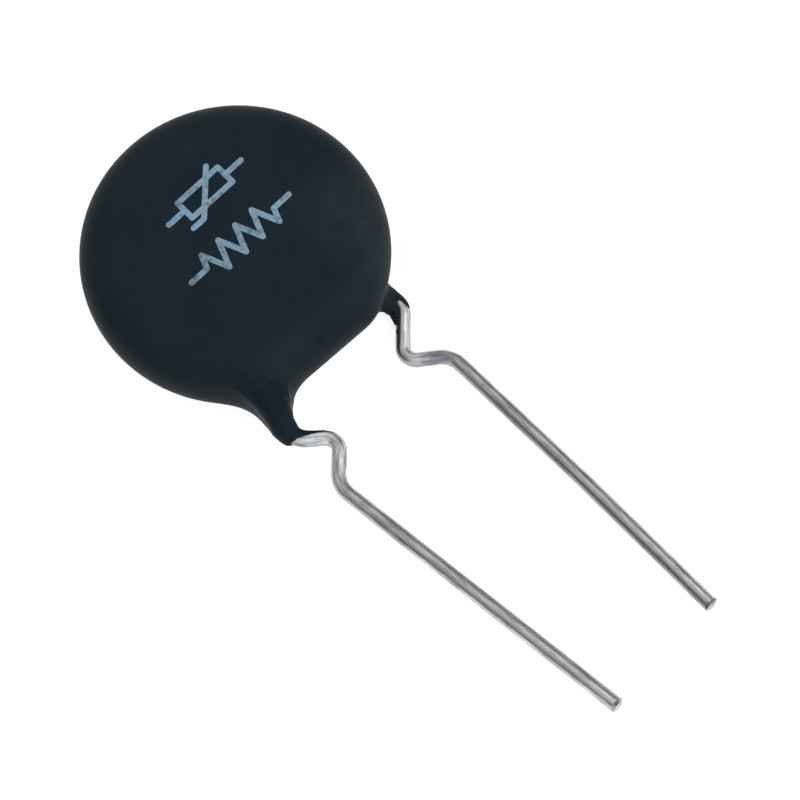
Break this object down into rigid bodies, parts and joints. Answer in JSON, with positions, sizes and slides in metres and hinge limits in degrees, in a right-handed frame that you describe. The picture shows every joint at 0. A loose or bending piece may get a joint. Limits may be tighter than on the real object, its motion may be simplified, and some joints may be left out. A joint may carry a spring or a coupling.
{
  "type": "ntc thermistor",
  "caption": "Round dip-coated disc thermistor with a flat lower edge and kinked tinned wire leads for board holes.",
  "frame": {"origin": "centre of the coated disc's back face, on which the part lies", "axes": "+Z through the disc towards the printed front face, -Y the way the leads point, +X towards the lead that is soldered on the back"},
  "size_m": [0.0166, 0.0394, 0.0044],
  "materials": {
    "coat": "satin dipped resin",
    "tinned_wire": "bright tinned",
    "ink": "faded printed ink",
    "ceramic": "sintered, matt",
    "silver": "fired silver, matt",
    "solder": "solder, smooth"
  },
  "bodies": {
    "root": {"ceramic_disc": "ceramic", "front_electrode": "silver", "back_electrode": "silver", "front_solder": "solder", "back_solder": "solder", "left_lead": "tinned_wire", "right_lead": "tinned_wire", "coating": "coat", "marking": "ink"}
  },
  "joints": []
}
